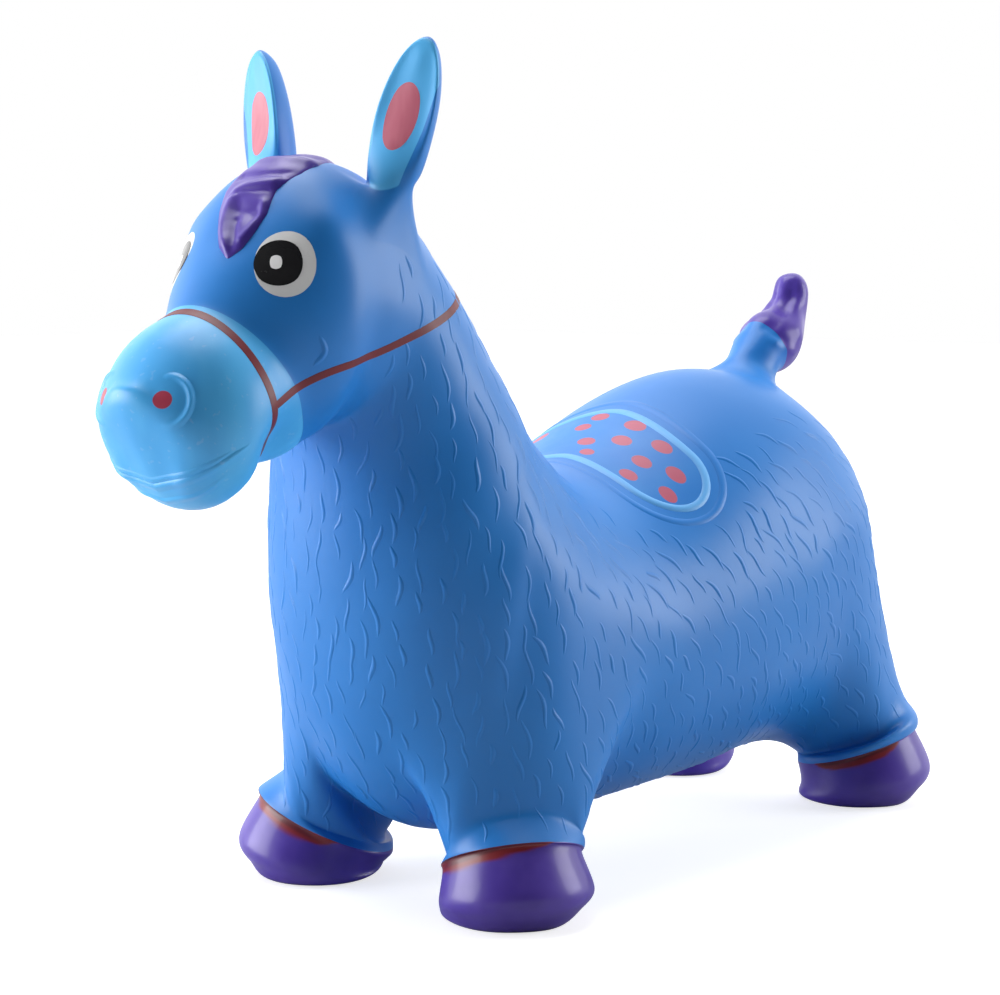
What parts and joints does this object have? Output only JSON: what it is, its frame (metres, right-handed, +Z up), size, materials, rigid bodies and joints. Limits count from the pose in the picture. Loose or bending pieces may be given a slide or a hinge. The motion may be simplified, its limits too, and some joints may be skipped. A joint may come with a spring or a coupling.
{
  "type": "inflatable ride-on hopper horse",
  "caption": "Air-filled vinyl ride-on horse: round barrel seat, upright neck, ears to hold, splayed hooves, raised tail and a belly air valve.",
  "frame": {"origin": "middle of the bounding box on the floor plane", "axes": "+Z up, the horse faces -Y, its left side is at +X"},
  "size_m": [0.255, 0.6564, 0.4998],
  "materials": {
    "barrel": "satin blue vinyl",
    "chest": "satin blue vinyl",
    "neck": "satin blue vinyl",
    "head": "satin blue vinyl",
    "muzzle": "sky-blue paint, satin",
    "tail_dock": "satin blue vinyl",
    "tail_tuft": "violet paint, glossy",
    "mane": "violet paint, glossy",
    "noseband": "dark red paint",
    "neck_strap": "dark red paint",
    "saddle_panel": "satin blue vinyl",
    "saddle_border": "light blue paint",
    "valve_seat": "white moulded PVC",
    "valve_plug": "white moulded PVC",
    "eye_white_left": "white paint",
    "pupil_left": "black paint",
    "eye_glint_left": "white paint",
    "nostril_left": "sky-blue paint, satin",
    "ear_spot_left": "pink paint",
    "ear_root_left": "satin blue vinyl",
    "ear_left": "satin blue vinyl",
    "ear_lining_left": "sky-blue paint, satin",
    "leg_front_left": "satin blue vinyl",
    "coronet_front_left": "dark red paint",
    "hoof_front_left": "violet paint, glossy",
    "leg_rear_left": "satin blue vinyl",
    "coronet_rear_left": "dark red paint",
    "hoof_rear_left": "violet paint, glossy",
    "eye_white_right": "white paint",
    "pupil_right": "black paint",
    "eye_glint_right": "white paint",
    "nostril_right": "sky-blue paint, satin",
    "ear_spot_right": "pink paint",
    "ear_root_right": "satin blue vinyl",
    "ear_right": "satin blue vinyl",
    "ear_lining_right": "sky-blue paint, satin",
    "leg_front_right": "satin blue vinyl",
    "coronet_front_right": "dark red paint",
    "hoof_front_right": "violet paint, glossy",
    "leg_rear_right": "satin blue vinyl",
    "coronet_rear_right": "dark red paint",
    "hoof_rear_right": "violet paint, glossy"
  },
  "bodies": {
    "horse": {"barrel": "barrel", "chest": "chest", "neck": "neck", "head": "head", "muzzle": "muzzle", "tail_dock": "tail_dock", "mane": "mane", "noseband": "noseband", "neck_strap": "neck_strap", "saddle_panel": "saddle_panel", "saddle_border": "saddle_border", "valve_seat": "valve_seat", "eye_white_left": "eye_white_left", "pupil_left": "pupil_left", "eye_glint_left": "eye_glint_left", "nostril_left": "nostril_left", "ear_root_left": "ear_root_left", "leg_front_left": "leg_front_left", "leg_rear_left": "leg_rear_left", "eye_white_right": "eye_white_right", "pupil_right": "pupil_right", "eye_glint_right": "eye_glint_right", "nostril_right": "nostril_right", "ear_root_right": "ear_root_right", "leg_front_right": "leg_front_right", "leg_rear_right": "leg_rear_right"},
    "ear_left": {"ear_left": "ear_left", "ear_lining_left": "ear_lining_left", "ear_spot_left": "ear_spot_left"},
    "hoof_front_left": {"hoof_front_left": "hoof_front_left", "coronet_front_left": "coronet_front_left"},
    "hoof_rear_left": {"hoof_rear_left": "hoof_rear_left", "coronet_rear_left": "coronet_rear_left"},
    "ear_right": {"ear_right": "ear_right", "ear_lining_right": "ear_lining_right", "ear_spot_right": "ear_spot_right"},
    "hoof_front_right": {"hoof_front_right": "hoof_front_right", "coronet_front_right": "coronet_front_right"},
    "hoof_rear_right": {"hoof_rear_right": "hoof_rear_right", "coronet_rear_right": "coronet_rear_right"},
    "tail": {"tail_tuft": "tail_tuft"},
    "plug": {"valve_plug": "valve_plug"}
  },
  "joints": [
    {"name": "ear_left_bend", "type": "hinge", "parent": "horse", "child": "ear_left", "pos_m": [0.0449, -0.1721, 0.4174], "axis": [0.9399, 0.217, -0.2635], "range_deg": [-20, 20], "stiffness_Nm_per_rad": 0.3, "deforming": ["ear_root_left"]},
    {"name": "hoof_front_left_press", "type": "slide", "parent": "horse", "child": "hoof_front_left", "axis": [0, 0, 1], "range_m": [0, 0.012], "stiffness_N_per_m": 1200, "deforming": ["leg_front_left"]},
    {"name": "hoof_rear_left_press", "type": "slide", "parent": "horse", "child": "hoof_rear_left", "axis": [0, 0, 1], "range_m": [0, 0.012], "stiffness_N_per_m": 1200, "deforming": ["leg_rear_left"]},
    {"name": "ear_right_bend", "type": "hinge", "parent": "horse", "child": "ear_right", "pos_m": [-0.0449, -0.1721, 0.4174], "axis": [0.9399, -0.217, 0.2635], "range_deg": [-20, 20], "stiffness_Nm_per_rad": 0.3, "deforming": ["ear_root_right"]},
    {"name": "hoof_front_right_press", "type": "slide", "parent": "horse", "child": "hoof_front_right", "axis": [0, 0, 1], "range_m": [0, 0.012], "stiffness_N_per_m": 1200, "deforming": ["leg_front_right"]},
    {"name": "hoof_rear_right_press", "type": "slide", "parent": "horse", "child": "hoof_rear_right", "axis": [0, 0, 1], "range_m": [0, 0.012], "stiffness_N_per_m": 1200, "deforming": ["leg_rear_right"]},
    {"name": "tail_bend", "type": "hinge", "parent": "horse", "child": "tail", "pos_m": [0, 0.2624, 0.3097], "axis": [1, 0, 0], "range_deg": [-20, 20], "stiffness_Nm_per_rad": 0.3, "deforming": ["tail_dock"]},
    {"name": "plug_pull", "type": "slide", "parent": "horse", "child": "plug", "axis": [0, 0, -1], "range_m": [0, 0.022]}
  ]
}
